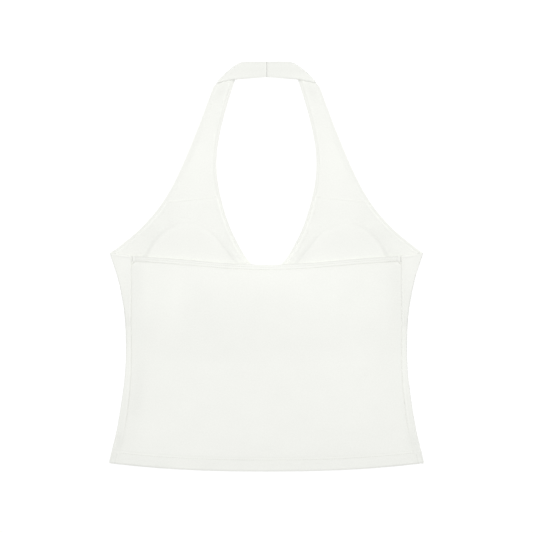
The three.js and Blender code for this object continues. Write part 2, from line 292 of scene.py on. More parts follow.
def side_seam(height):
    return curve(SIDE_SEAM, height)


def back_top(across):
    return curve(BACK_TOP, abs(across))


def hem(across):
    return -HALF_LENGTH + HEM_RISE * (abs(across) / HEM_HALF_WIDTH) ** HEM_BEND


def neckline(height, inset=0.0):
    bottom = NECK_BOTTOM - inset
    share = max(0.0, (height - bottom) / (UNDERARM - bottom))
    return (NECK_AT_UNDERARM + inset * NECK_SLANT) * share ** NECK_BEND


def meeting(half_width_at, height_at):
    """Where a row that rises across the garment meets an upright curve"""
    x = half_width_at(0)
    for _ in range(6):
        x = half_width_at(height_at(x))
    return x, height_at(x)


def pad_radius(angle):
    return curve(PAD_OUTLINE, math.degrees(angle) % 360) - RIM_INSET


def pad_rise(share):
    """Height of a pad's upper face above its base, by the share of the way out to its rim"""
    return PAD_EDGE + (PAD_THICKNESS - PAD_EDGE) * math.sqrt(max(0.0, 1 - share ** PAD_CROWN))


def past_pad(x, y):
    """Distance past a pad's rim, and the share of the way out from its middle"""
    dx = abs(x) - PAD_MIDDLE[0]
    dy = y - PAD_MIDDLE[1]
    distance = math.hypot(dx, dy)
    radius = pad_radius(math.atan2(dy, dx))
    return distance - radius, distance / radius


def patches(table, x, y):
    """Sum at a place of a table's soft patches"""
    total = 0.0
    for patch in table:
        along = (y - patch.y) / patch.length
        aside = (x - patch.x - patch.lean * (y - patch.y)) / patch.width
        if abs(along) < 3 and abs(aside) < 3:
            total += patch.amount * math.exp(-aside * aside - along * along)
    return total


def back_height(x, y):
    """Middle of the back's cloth, and of the front's wings beside it"""
    over_lining = smooth((y + 112) / 62)
    inside = smooth((175 - abs(x)) / 36)
    above = smooth((y + 115) / 80)
    sag = 1 - 0.6 * bell(x, 30)
    over_pads = (PAD_LIFT + 0.5) * inside * above * sag
    height = CAD_CLOTH / 2 + LAYER_STEP * (1 + over_lining) + over_pads + RAISED
    return height - patches(BACK_FOLDS, abs(x), y)


def shares(count, width, first=1.0, last=1.0, near_first=EDGE_STEPS, near_last=EDGE_STEPS):
    """Shares across a sheet, a column for each: close beside its edges and even between them.
    first and last are the sines of the angles at which the columns' row meets each edge."""
    start = [step / first / width for step in near_first]
    end = [1 - step / last / width for step in reversed(near_last)]
    between = count + 1 - len(start) - len(end)
    gap = (end[0] - start[-1]) / (between + 1)
    return start + [start[-1] + gap * (index + 1) for index in range(between)] + end


def graded(start, end, coarse, zones):
    """Places from a start to an end: a fine step inside each zone (from, to, step), and a coarse one
    elsewhere"""
    places = [start]
    while places[-1] < end:
        here = places[-1]
        steps = [step for low, high, step in zones if low <= here < high]
        places.append(here + min(steps, default=coarse))
    stretch = (end - start) / (places[-1] - start)
    return [start + (place - start) * stretch for place in places]


# A point of a cloth: its place, its place on the flat cut, and the painted light and shade added to its
# colour there, lighter above zero and darker below
Spot = namedtuple("Spot", "point cut tone", defaults=[0.0])


def sheet_grid(columns, rows, spot_at):
    """A grid whose point (i, j) is moved to its spot, with its place on the flat cut as its UV"""
    mesh = bmesh.new()
    cut = mesh.loops.layers.uv.new("cut")
    # Each point's tone is painted light and shade, which the cloth's material adds to its colour
    tone = mesh.verts.layers.float.new("tone")
    bmesh.ops.create_grid(mesh, x_segments=columns, y_segments=rows, size=0.5)
    for vertex in mesh.verts:
        i = round((vertex.co.x + 0.5) * columns)
        j = round((vertex.co.y + 0.5) * rows)
        spot = spot_at(i, j)
        vertex.co = spot.point
        vertex[tone] = spot.tone
        for loop in vertex.link_loops:
            loop[cut].uv = (spot.cut[0] * MM, spot.cut[1] * MM)
    return mesh


def add_painted_light_and_shade(mesh):
    """Adds the table's painted light and shade once both halves of a mesh are there"""
    tone = mesh.verts.layers.float["tone"]
    for vertex in mesh.verts:
        vertex[tone] += patches(PAINTED_LIGHT_AND_SHADE, vertex.co.x, vertex.co.y)


def as_mesh(name, shape):
    """Turns a bmesh to a mesh and frees it"""
    data = bpy.data.meshes.new(name)
    shape.to_mesh(data)
    shape.free()
    return data


def add_object(name, data):
    item = bpy.data.objects.new(name, data)
    bpy.context.collection.objects.link(item)
    return item


def add_mesh(target, source):
    """Adds one bmesh to another and frees it"""
    data = as_mesh("joined", source)
    target.from_mesh(data)
    bpy.data.meshes.remove(data)


def mirrored(mesh):
    bmesh.ops.mirror(mesh, geom=mesh.verts[:] + mesh.edges[:] + mesh.faces[:], axis="X", merge_dist=0.01)
    bmesh.ops.remove_doubles(mesh, verts=mesh.verts[:], dist=0.01)


def finished(name, mesh, material, nodes=(), cloth=None, edge=0.28):
    """Turns a bmesh to an object in metres, which rides on the one body"""
    bmesh.ops.recalc_face_normals(mesh, faces=mesh.faces[:])
    bmesh.ops.scale(mesh, vec=(MM, MM, MM), verts=mesh.verts[:])
    data = as_mesh(name, mesh)
    data.polygons.foreach_set("use_smooth", [True] * len(data.polygons))
    piece = add_object(name, data)
    for one in material if isinstance(material, (list, tuple)) else [material]:
        data.materials.append(one)
    if cloth:
        wall = piece.modifiers.new("wall", "SOLIDIFY")
        wall.thickness = cloth * MM
        wall.offset = 0
        soften = piece.modifiers.new("soft edge", "BEVEL")
        soften.width = edge * MM
        soften.segments = 2
        soften.limit_method = "ANGLE"
        soften.angle_limit = math.radians(50)
        soften.harden_normals = True
    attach(piece, "root")
    if nodes:
        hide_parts(*nodes)
    return piece


# Camera and floor

PHOTO_SIDE = 533
PIXEL = 1.1576               # millimetres of the surface for each pixel
CAMERA_HEIGHT = 1800.0
VIEWED_HEIGHT = 2.0          # of the outline that the photo shows
SENSOR = 36.0


def add_camera():
    """Straight above the laid garment, as wide as the photo"""
    data = bpy.data.cameras.new("camera")
    data.sensor_width = SENSOR
    data.lens = SENSOR * (CAMERA_HEIGHT - VIEWED_HEIGHT) / (PHOTO_SIDE * PIXEL)
    data.clip_start = 0.05
    camera = add_object("camera", data)
    camera.location = (0, 0, CAMERA_HEIGHT * MM)
    bpy.context.scene.camera = camera


def to_linear(hex_colour):
    """A linear RGBA colour from an sRGB hex value"""
    channels = [int(hex_colour[start:start + 2], 16) / 255 for start in (1, 3, 5)]
    return [c / 12.92 if c <= 0.04045 else ((c + 0.055) / 1.055) ** 2.4 for c in channels] + [1.0]


def add_node(tree, kind, settings=None, **links):
    """Adds a node. A setting or link is named by its property or socket, with _ for a space; a
    socket given by number is written in_0, in_1 and so on. A link's value is an output socket."""
    node = tree.nodes.new(kind)
    for name, value in (settings or {}).items():
        setattr(node, name, value)
    for name, value in links.items():
        socket = node.inputs[int(name[3:]) if name.startswith("in_") else name.replace("_", " ")]
        if isinstance(value, bpy.types.NodeSocket):
            tree.links.new(value, socket)
        else:
            socket.default_value = value
    return node


def new_material(name):
    material = bpy.data.materials.new(name)
    material.use_nodes = True
    material.node_tree.nodes.clear()
    return material, material.node_tree


TABLE_HALF_WIDTH = 3.0       # in metres, as are the table's gap and the light's place and size
TABLE_GAP = 0.0001
TABLE_GLOW = 0.67
ROOM_LIGHT = 0.43
SOFT_BOX_PLACE = (0.0, 0.42, 2.2)
SOFT_BOX_SIZE = (1.4, 1.2)
SOFT_BOX_WATTS = 33.6


def add_floor():
    """A white table, lit from inside so that it shows hardly any shadow"""
    mesh = bmesh.new()
    bmesh.ops.create_grid(mesh, x_segments=1, y_segments=1, size=TABLE_HALF_WIDTH)
    bmesh.ops.translate(mesh, verts=mesh.verts[:], vec=(0, 0, -TABLE_GAP))
    data = as_mesh("studio_table", mesh)
    floor = add_object("studio_table", data)
    material, tree = new_material("frosted_acrylic_light_table")
    surface = add_node(
        tree, "ShaderNodeBsdfPrincipled", Base_Color=to_linear("#a6a6a6"), Roughness=0.9,
        Specular_IOR_Level=0.0, Emission_Color=(1, 1, 1, 1), Emission_Strength=TABLE_GLOW,
    )
    add_node(tree, "ShaderNodeOutputMaterial", Surface=surface.outputs[0])
    data.materials.append(material)


def add_light(name, place, aim, size, power):
    data = bpy.data.lights.new(name, "AREA")
    data.shape = "RECTANGLE"
    data.size, data.size_y = size
    data.energy = power
    light = add_object(name, data)
    light.location = place
    light.rotation_mode = "QUATERNION"
    light.rotation_quaternion = (Vector(aim) - Vector(place)).to_track_quat("-Z", "Y")


def add_studio():
    """A white room, and one large soft light overhead, a little towards the neck side"""
    world = bpy.data.worlds.new("white_room")
    world.use_nodes = True
    background = world.node_tree.nodes["Background"]
    background.inputs["Color"].default_value = (1, 1, 1, 1)
    background.inputs["Strength"].default_value = ROOM_LIGHT
    bpy.context.scene.world = world
    add_light("soft_box", SOFT_BOX_PLACE, (0.0, 0.0, 0.0), SOFT_BOX_SIZE, SOFT_BOX_WATTS)
    bpy.context.scene.view_settings.view_transform = "Standard"


add_camera()
add_floor()
add_studio()


# Materials

WALE = 1.0       # width of a column of knit stitches, drawn about twice as coarse as real so that it shows
COURSE = 0.8     # height of one knit stitch, likewise


def jersey(name, colour):
    """Single jersey, dyed off-white: fine columns of V stitches, matt, with a slight soft nap, and the
    painted light and shade stored on each mesh as its tone
    """
    material, tree = new_material(name)
    cut = add_node(tree, "ShaderNodeUVMap", {"uv_map": "cut"}).outputs[0]
    in_mm = add_node(tree, "ShaderNodeVectorMath", {"operation": "SCALE"}, in_0=cut, Scale=1 / MM)
    in_mm = in_mm.outputs[0]
    parts = add_node(tree, "ShaderNodeSeparateXYZ", in_0=in_mm).outputs

    def maths(operation, first, second=0.0):
        node = add_node(tree, "ShaderNodeMath", {"operation": operation}, in_0=first, in_1=second)
        return node.outputs[0]

    column = maths("PINGPONG", maths("DIVIDE", parts[0], WALE), 0.5)
    along = maths("ADD", maths("DIVIDE", parts[1], COURSE), maths("MULTIPLY", column, 1.6))
    loops = maths("SINE", maths("MULTIPLY", along, 2 * math.pi))
    columns = maths("SINE", maths("MULTIPLY", column, 2 * math.pi))
    knit = maths("ADD", maths("MULTIPLY", loops, 0.35), columns)
    mottle = add_node(tree, "ShaderNodeTexNoise", Vector=in_mm, Scale=0.55, Detail=3.0, Roughness=0.7)
    cloud = add_node(tree, "ShaderNodeTexNoise", Vector=in_mm, Scale=0.035, Detail=2.0, Roughness=0.5)
    grain = maths("MULTIPLY", maths("SUBTRACT", mottle.outputs[0], 0.5), 0.10)
    drift = maths("MULTIPLY", maths("SUBTRACT", cloud.outputs[0], 0.5), 0.03)
    shade = maths("ADD", maths("ADD", grain, drift), 1.0)
    # The tone attribute is painted light and shade, added to the cloth's colour
    tone = add_node(tree, "ShaderNodeAttribute", {"attribute_name": "tone"}).outputs["Fac"]
    shade = maths("ADD", shade, tone)
    tinted = add_node(
        tree, "ShaderNodeVectorMath", {"operation": "SCALE"}, in_0=to_linear(colour)[:3], Scale=shade
    )
    bump = add_node(tree, "ShaderNodeBump", Strength=0.25, Distance=0.00012, Height=knit)
    surface = add_node(
        tree, "ShaderNodeBsdfPrincipled", Base_Color=tinted.outputs[0], Normal=bump.outputs[0],
        Roughness=0.9, IOR=1.5, Specular_IOR_Level=0.25, Sheen_Weight=0.12, Sheen_Roughness=0.5,
    )
    add_node(tree, "ShaderNodeOutputMaterial", Surface=surface.outputs[0])
    return material


def covered_foam(name, colour):
    """Polyurethane foam with a fine brushed knit bonded to it in the mould: matt, with a soft nap"""
    material, tree = new_material(name)
    place = add_node(tree, "ShaderNodeTexCoord").outputs["Object"]
    nap = add_node(tree, "ShaderNodeTexNoise", Vector=place, Scale=900.0, Detail=2.0, Roughness=0.6)
    nap = nap.outputs[0]
    tone = add_node(tree, "ShaderNodeMapRange", Value=nap, To_Min=0.96, To_Max=1.02).outputs[0]
    tinted = add_node(
        tree, "ShaderNodeVectorMath", {"operation": "SCALE"}, in_0=to_linear(colour)[:3], Scale=tone
    )
    bump = add_node(tree, "ShaderNodeBump", Strength=0.3, Distance=0.0002, Height=nap)
    surface = add_node(
        tree, "ShaderNodeBsdfPrincipled", Base_Color=tinted.outputs[0], Normal=bump.outputs[0],
        Roughness=0.95, Specular_IOR_Level=0.2, Sheen_Weight=0.2,
    )
    add_node(tree, "ShaderNodeOutputMaterial", Surface=surface.outputs[0])
    return material


def thread(name, colour):
    """Spun polyester sewing thread: matt, with a fine twist across it"""
    material, tree = new_material(name)
    place = add_node(tree, "ShaderNodeTexCoord").outputs["Object"]
    twist = add_node(tree, "ShaderNodeTexNoise", Vector=place, Scale=4000.0, Detail=1.0)
    bump = add_node(tree, "ShaderNodeBump", Strength=0.3, Distance=0.00005, Height=twist.outputs[0])
    surface = add_node(
        tree, "ShaderNodeBsdfPrincipled", Base_Color=to_linear(colour), Normal=bump.outputs[0],
        Roughness=0.7, Specular_IOR_Level=0.3,
    )
    add_node(tree, "ShaderNodeOutputMaterial", Surface=surface.outputs[0])
    return material


JERSEY = jersey("off_white_single_jersey", "#f3f4ef")
LINING_JERSEY = jersey("off_white_lining_jersey", "#f3f4ef")
FOAM = covered_foam("cloth_covered_foam", "#f5f5ee")
THREAD = thread("off_white_sewing_thread", "#eeefe9")
# A darker copy of the thread, put at each needle hole as its painted shade
NEEDLE_HOLE_SHADE = thread("needle_hole_painted_shade", "#dcddd6")


# Front, cut in one piece with both straps

FLAT_COLUMNS = 52
FOLD_STEPS = 12
WING_STEPS = (12.0, 9.0, 6.5, 4.8, 3.6, 2.8, 2.2, 1.7, 1.3, 0.9, 0.6, 0.3, 0.0)   # distances from the seam


def across_section(section, share, height):
    outward = Vector((section.neck_y - section.arm_y, section.arm_x - section.neck_x)).normalized()
    bow = section.bow * 4 * share * (1 - share)
    x = mix(section.neck_x, section.arm_x, share) + outward.x * bow
    y = mix(section.neck_y, section.arm_y, share) + outward.y * bow
    return Vector((x, y, height))


def neckline_edge(distance):
    """Height of the edge turned in along the neckline, by the distance in from it, and its painted light
    and shade: darker over the turned strip and at the edge, lighter 4.4 mm in
    """
    strip = smooth(distance / 0.9) * (1 - smooth((distance - 3.3) / 0.9))
    return 0.30 * strip, -0.022 * strip - 0.012 * bell(distance, 0.8) + 0.012 * bell(distance - 4.4, 0.8)


def armhole_edge(distance):
    """Height of the rolled edge along the armhole, by the distance in from it, and a soft line of painted
    shade just inside it
    """
    height = 0.16 * bell(distance - 1.8, 1.1) - 0.30 * bell(distance, 0.7)
    return height, -0.024 * bell(distance - 1.9, 1.0)


def seam_shows(y):
    """How deep the side seam lies below the jog: it grows flat towards the hem"""
    return 1 - 0.75 * smooth((-172 - y) / 32)


def wing_relief(distance, y):
    """Height, and painted light and shade, of the wing's rolled edge beside the side seam, by the distance
    out from it
    """
    upper = smooth((y - SEAM_JOG + 1.5) / 3)
    rolled = 0.45 * bell(distance - 1.2, 1.0) - 0.55 * bell(distance, 0.45)
    pressed = (0.25 * bell(distance - 1.0, 1.0) - 0.15 * bell(distance, 0.6)) * seam_shows(y)
    light = 0.030 * bell(distance - 1.5, 0.8) - 0.05 * bell(distance, 0.5)
    lower_light = (0.032 * bell(distance - 1.6, 0.9) - 0.02 * bell(distance, 0.5)) * seam_shows(y)
    return mix(pressed, rolled, upper), mix(lower_light, light, upper)


def wing_shade(from_fold, y):
    """How much painted shade darkens the wing: at the side fold near the seam's jog, just above that jog,
    and over its whole width towards the hem"""
    at_fold = 0.036 * bell(y + 62, 34) * bell(from_fold, 2.6)
    above_jog = 0.028 * smooth((y - SEAM_JOG + 1.5) / 3) * bell(y - SEAM_JOG - 3, 8)
    towards_hem = 0.026 * bell(y + 178, 26)
    return at_fold + above_jog + towards_hem


def hem_relief(above):
    """Height that the hem adds, by the height above its edge: rolled over there, and pulled down by
    its stitch rows"""
    roll = -0.75 * (1 - smooth(above / 2.4)) ** 2
    double = 0.35 * (1 - smooth((above - HEM_DEPTH + 0.2) / 1.2))
    pulled = 0.12 * bell(above - HEM_DEPTH, 0.9) + 0.04 * bell(above - HEM_SECOND_ROW, 0.8)
    return roll + double - pulled


def hem_painted_shade(above, across):
    """Painted shade of the hem: its rows are drawn greyer, unevenly, and so are its turned cloth and its
    rolled edge, most of all near the sides"""
    uneven = 0.7 + 0.7 * bell(across + 34, 20) + 0.3 * bell(across + 112, 16)
    uneven += 0.5 * bell(across - 96, 36)
    dashes = 1 + 0.5 * math.sin(across / 1.1) * (0.5 + 0.5 * math.sin(across / 6.7 + 1))
    rows = 0.034 * uneven * dashes * bell(above - HEM_DEPTH, 0.75)
    rows += 0.010 * bell(above - HEM_SECOND_ROW, 0.7)
    below_row = 1 - smooth((above - HEM_DEPTH + 1.5) / 2)
    turned = (0.004 + 0.011 * smooth((abs(across) - 100) / 30)) * below_row
    edge = 0.055 * bell(abs(across) - 150, 30) * bell(above, 1.6)
    return -rows - turned - edge


def front_row(height_share):
    """Places across one row of the front: flat, round the side fold, and back over it as the wing"""
    def height_at(x):
        return mix(hem(x), UNDERARM, height_share)

    def wing_height_at(x):
        return mix(hem(x), back_top(x), height_share)

    fold_x, fold_y = meeting(side_fold, height_at)
    seam_x, seam_y = meeting(side_seam, wing_height_at)
    top = back_height(fold_x, fold_y)
    radius = (top - FRONT_MIDDLE) / 2
    axis = fold_x - radius - CLOTH / 2
    inner = neckline(height_at(0))
    row = []
    for share in shares(FLAT_COLUMNS, axis - inner):
        x = mix(inner, axis, share)
        y = height_at(x)
        row.append(Spot(Vector((x, y, FRONT_MIDDLE)), (x, y)))
    for step in range(1, FOLD_STEPS + 1):
        t = step / FOLD_STEPS
        place = Vector((
            axis + radius * math.sin(math.pi * t),
            mix(height_at(axis), wing_height_at(axis), t),
            FRONT_MIDDLE + radius * (1 - math.cos(math.pi * t)),
        ))
        shade = wing_shade(fold_x - place.x, place.y) * smooth(2 * t)
        row.append(Spot(place, (axis + math.pi * radius * t, height_at(axis)), -shade))
    wing_width = axis - seam_x
    for distance in WING_STEPS:
        from_seam = min(distance, wing_width * (0.35 + distance / 20))
        x = seam_x + from_seam
        y = wing_height_at(x)
        settled = mix(FRONT_MIDDLE + 2 * radius, back_height(seam_x, seam_y), 1 - from_seam / wing_width)
        in_hem = 1 - smooth((y - hem(x) - HEM_DEPTH + 2) / 1.5)
        from_fold = side_fold(y) - x
        tick = bell(from_fold - HEM_TICK, 0.45) * in_hem
        below_top = back_top(x) - y
        top_edge = -0.5 * bell(below_top, 0.7) + 0.25 * bell(below_top - 1.8, 1.1)
        rise, tone = wing_relief(from_seam, y)
        z = settled + rise + hem_relief(y - hem(x)) + top_edge - 0.3 * tick
        # Painted shade of the wing in its hem, at the pressed line there and beside the side fold, and a
        # painted highlight along its top edge with a painted dark line just below it
        tone += hem_painted_shade(y - hem(x), x) - 0.09 * tick - wing_shade(from_fold, y)
        tone -= 0.045 * bell(from_fold, 2.6) * in_hem
        tone += 0.03 * bell(below_top - 0.4, 0.7) - 0.05 * bell(below_top - 1.9, 0.7)
        row.append(Spot(Vector((x, y, z)), (axis + math.pi * radius + axis - x, y), tone))
    return row


def front_body():
    length = UNDERARM + HALF_LENGTH
    places = graded(0, length, 2.8, HEM_ZONES + [(length - 5, length, 0.5)])
    rows = [front_row(place / length) for place in places]
    return sheet_grid(len(rows[0]) - 1, len(rows) - 1, lambda i, j: rows[j][i])


def edge_sine(sections, place, at_neck):
    """Sine of the angle between a section and the edge that it ends on"""
    step = 0.01
    here = section_at(sections, place)
    near = section_at(sections, place + step if place + step < len(sections) - 1 else place - step)
    across = Vector((here.arm_x - here.neck_x, here.arm_y - here.neck_y)).normalized()
    if at_neck:
        along = Vector((near.neck_x - here.neck_x, near.neck_y - here.neck_y))
    else:
        along = Vector((near.arm_x - here.arm_x, near.arm_y - here.arm_y))
    if along.length < 1e-6:
        return 1.0
    along.normalize()
    return max(0.45, abs(across.x * along.y - across.y * along.x))


FOLD_END = STRAP[-1]
FOLD_OUT = Vector((FOLD_END.neck_y - FOLD_END.arm_y, FOLD_END.arm_x - FOLD_END.neck_x, 0)).normalized()


def beyond_fold(x, y, further):
    """Place on the flat cut of a point of the neck band, which is folded back over"""
    from_fold = (x - FOLD_END.neck_x) * FOLD_OUT.x + (y - FOLD_END.neck_y) * FOLD_OUT.y
    reach = further - 2 * from_fold
    return x + FOLD_OUT.x * reach, y + FOLD_OUT.y * reach


def strap_relief(share, width, neck_sine, arm_sine, y):
    """Height, and painted light and shade, of the strap's inside at a share of the way across it"""
    neck_height, neck_tone = neckline_edge(share * width * neck_sine)
    from_arm = (1 - share) * width * arm_sine
    arm_height, arm_tone = armhole_edge(from_arm)
    pucker = 0.3 * smooth((y - 186) / 22) * bell(from_arm - 8.0, 4.5)
    # Painted shade in a soft band beside the armhole, about the strap's middle height
    greyer = 0.030 * bell(from_arm - 4.8, 2.6) * bell(y - 132, 30)
    return neck_height + arm_height - pucker, neck_tone + arm_tone - greyer


STRAP_ROWS = 135
ROWS_DRAW_IN = 1.15         # how much closer the strap's rows lie near the underarm


def front_strap():
    rows = [front_row(1.0)[:FLAT_COLUMNS + 1]]
    last = len(STRAP) - 1
    for step in range(1, STRAP_ROWS + 1):
        place = last * (step / STRAP_ROWS) ** ROWS_DRAW_IN
        section = section_at(STRAP, place)
        width = section_width(section)
        before_fold = smooth((last - place) / 1.2)
        neck_sine = mix(1.0, edge_sine(STRAP, place, True), before_fold)
        arm_sine = mix(1.0, edge_sine(STRAP, place, False), before_fold)
        near_fold = 1 - smooth((last - place) / 0.35)
        from_underarm = smooth((section.arm_y - UNDERARM) / 2.5)
        row = []
        for share in shares(FLAT_COLUMNS, width, neck_sine, arm_sine):
            rise, tone = strap_relief(share, width, neck_sine, arm_sine, section.arm_y)
            shown = from_underarm * (1 - near_fold)
            point = across_section(section, share, FRONT_MIDDLE + max(0.0, rise * shown))
            row.append(Spot(point, (point.x, point.y), tone * shown))
        rows.append(row)
    band_lift = CAD_CLOTH / 2 + 2 * NECK_FOLD_RADIUS + RAISED - FRONT_MIDDLE
    radius = band_lift / 2
    end = rows[-1]
    for step in range(1, FOLD_STEPS + 1):
        t = step / FOLD_STEPS
        row = []
        for spot in end:
            from_end = min((spot.point - end[0].point).length, (spot.point - end[-1].point).length)
            bulge = NECK_FOLD_RADIUS * (0.15 + 0.85 * smooth(from_end / 4))
            moved = spot.point + FOLD_OUT * (bulge * math.sin(math.pi * t))
            moved.z = FRONT_MIDDLE + radius * (1 - math.cos(math.pi * t))
            reach = math.pi * NECK_FOLD_RADIUS * t
            row.append(Spot(moved, (spot.cut[0] + FOLD_OUT.x * reach, spot.cut[1] + FOLD_OUT.y * reach)))
        rows.append(row)
    last_band = len(NECK_BAND) - 1
    for place in graded(0, last_band, 0.08, [(last_band - 0.36, last_band, 0.018)])[1:]:
        section = section_at(NECK_BAND, place)
        width = section_width(section)
        over_strap = smooth(place / 0.6) * (1 - section.down)
        row = []
        for share in shares(FLAT_COLUMNS, width):
            from_top = share * width
            from_low = width - from_top
            rolled = 0.25 * bell(from_top, 0.8) + 0.25 * bell(from_low, 0.8)
            tucked = 0.75 * over_strap * bell(from_low, 0.9)
            height = FRONT_MIDDLE + band_lift * (1 - section.down) - rolled * smooth(place / 0.6) - tucked
            point = across_section(section, share, max(height, FRONT_MIDDLE))
            # Painted shade along the neck band's upper edge, and along its lower edge where it has come
            # down to the surface
            tone = -0.046 * bell(from_top, 2.6) - 0.040 * bell(from_low, 2.6) * smooth(section.down / 0.3)
            row.append(Spot(point, beyond_fold(point.x, point.y, math.pi * NECK_FOLD_RADIUS), tone))
        rows.append(row)
    return sheet_grid(FLAT_COLUMNS, len(rows) - 1, lambda i, j: rows[j][i])


def neck_seam_relief(x):
    """Height, and painted light and shade, beside the seam at the back of the neck: a pressed ridge on its
    left with a painted highlight, and a furrow with lower cloth on its right, painted dark"""
    beyond = bell(x, 2.0) if x > 0 else 0.0
    height = 0.30 * bell(x + 1.2, 0.8) - 0.70 * bell(x - 0.1, 0.35) - 0.20 * beyond
    tone = 0.046 * bell(x + 1.3, 0.7) - 0.22 * bell(x - 0.15, 0.5) - 0.055 * beyond
    return height, tone


def make_front():
    mesh = front_body()
    add_mesh(mesh, front_strap())
    mirrored(mesh)
    add_painted_light_and_shade(mesh)
    tone = mesh.verts.layers.float["tone"]
    for vertex in mesh.verts:
        if vertex.co.y > 216 and abs(vertex.co.x) < 6:
            rise, lighter = neck_seam_relief(vertex.co.x)
            vertex.co.z = max(vertex.co.z + rise, FRONT_MIDDLE)
            vertex[tone] += lighter
    return finished(
        "front_cloth", mesh, JERSEY, ["front_panel", "front_strap_left", "front_strap_right"], cloth=CLOTH
    )


# Back and the band along its top edge

def seam_side_relief(distance, y):
    """Height and painted shade of the back beside a side seam: a furrow above the jog, and below it a
    ridge of turned allowance with a furrow on its inner side"""
    upper = smooth((y - SEAM_JOG + 1.5) / 3)
    furrow = -0.45 * bell(distance - 0.3, 0.7)
    ridge = -0.60 * bell(distance - 0.2, 1.1) * seam_shows(y)
    light = -0.055 * bell(distance - 0.5, 0.9) * seam_shows(y)
    light -= 0.010 * bell(distance - 1.8, 1.8) * bell(y + 168, 26)
    return mix(ridge, furrow, upper), mix(light, -0.05 * bell(distance - 0.3, 0.6), upper)


def back_relief(x, y, from_seam):
    """Height, and painted light and shade, of the back's seams, hem, creases and of its upper edge, which
    rises to the band
    """
    rise, tone = seam_side_relief(from_seam, y)
    rise += hem_relief(y - hem(x)) - patches(BACK_CREASES, x, y)
    tone += hem_painted_shade(y - hem(x), x)
    below_band = back_top(x) - BAND_DEPTH - y
    outward = smooth((abs(x) - 50) / 80)
    rise += (0.45 - 0.2 * outward) * bell(below_band, 1.3)
    # Painted light just below the band's edge, against the shade that the band throws there
    tone += 0.040 * (1 - outward) * bell(below_band - 0.2, 1.5)
    tone += 0.012 * outward * bell(below_band - 0.4, 1.2)
    return rise, tone


SEAM_SLIT = 0.25            # between the back's edge and the wing's, above the jog
SEAM_OVERLAP = -0.25        # and below it, where they overlap


def make_back():
    length = HALF_LENGTH
    columns = 150
    rows = []
    for place in graded(0, length, 1.9, HEM_ZONES + [(length - 10, length, 0.7)]):
        share = place / length

        def height_at(x):
            return mix(hem(x), back_top(x) - BAND_DEPTH, share)

        def seam_at(height):
            return side_seam(height) - mix(SEAM_OVERLAP, SEAM_SLIT, smooth((height - SEAM_JOG) / 6))

        seam_x, _ = meeting(seam_at, height_at)
        row = []
        for across in shares(columns, 2 * seam_x):
            x = mix(-seam_x, seam_x, across)
            y = height_at(x)
            rise, tone = back_relief(x, y, seam_x - abs(x))
            row.append(Spot(Vector((x, y, back_height(x, y) + rise)), (x, y), tone))
        rows.append(row)
    mesh = sheet_grid(columns, len(rows) - 1, lambda i, j: rows[j][i])
    add_painted_light_and_shade(mesh)
    return finished("back_cloth", mesh, JERSEY, ["back_panel"], cloth=CLOTH)


BAND_LAYER = 0.75           # one layer of the folded strip
BAND_FOLD_RADIUS = (BAND_CLOTH - BAND_LAYER) / 2


def make_band():
    """A strip folded in two over the back's raw edge and sewn down by two rows"""
    run = BAND_DEPTH - BAND_FOLD_RADIUS - BAND_LAYER / 2
    straight = graded(0, run, 0.5, [])
    turn = [math.pi * step / 8 for step in range(1, 8)]
    profile = [(depth, -1) for depth in straight]
    profile += [(run + BAND_FOLD_RADIUS * math.sin(angle), -math.cos(angle)) for angle in turn]
    profile += [(depth, 1) for depth in reversed(straight)]
    columns = 210
    rows = []
    cut_across = 0.0
    for number, (depth, side) in enumerate(profile):
        if number:
            last_depth, last_side = profile[number - 1]
            cut_across += math.hypot(depth - last_depth, (side - last_side) * BAND_FOLD_RADIUS)
        row = []
        for share in shares(columns, 2 * BAND_HALF_LENGTH):
            x = mix(-BAND_HALF_LENGTH, BAND_HALF_LENGTH, share)
            y = back_top(x) - BAND_DEPTH + depth
            z = back_height(x, y) - RAISED + (BAND_CLOTH - CAD_CLOTH) / 2 + side * BAND_FOLD_RADIUS
            between_ends = 1 - smooth(abs(x) - BAND_END + 1)
            top_line = bell(depth - run, 0.55) * smooth(abs(x) / 36) * between_ends
            # Painted light and shade of the band: a little lighter in the middle, a dark line along its
            # top edge, darker towards its ends and at its end tabs, and darkest in the slit beside them
            tone = 0.010 * bell(x, 60) - 0.066 * top_line + 0.035 * bell(depth - 0.3, 0.8) * bell(x, 30)
            if side > 0.9:
                pinch = (0.3 + 0.7 * smooth((abs(x) - 50) / 90)) * between_ends
                z -= 0.20 * bell(depth - 4.4, 0.5) * pinch + 0.22 * bell(depth - 0.4, 0.7) * pinch
                z -= 0.5 * bell(abs(x) - BAND_END, 0.5) + 0.8 * bell(abs(x) - BAND_SLIT, 0.45)
                near_end = smooth((abs(x) - 105) / 30) * between_ends
                at_end = smooth((abs(x) - 132) / 9) * between_ends
                tone -= 0.025 * bell(depth - 0.3, 0.7) * near_end + 0.09 * bell(depth - 1.0, 0.9) * at_end
                tone -= 0.020 * bell(depth - 2.9, 0.6) * near_end
                tone -= 0.07 * bell(abs(x) - BAND_END, 0.7) + 0.20 * bell(abs(x) - BAND_SLIT, 0.7)
            row.append(Spot(Vector((x, y, z)), (x, cut_across), tone))
        rows.append(row)
    mesh = sheet_grid(columns, len(rows) - 1, lambda i, j: rows[j][i])
    add_painted_light_and_shade(mesh)
    return finished("back_band_cloth", mesh, JERSEY, ["back_top_band"], cloth=BAND_LAYER, edge=0.25)


# Bust lining and pads

LINING_CLOTH = 0.5
LINING_LOW = 1.4            # middle of the lining where it lies on the front


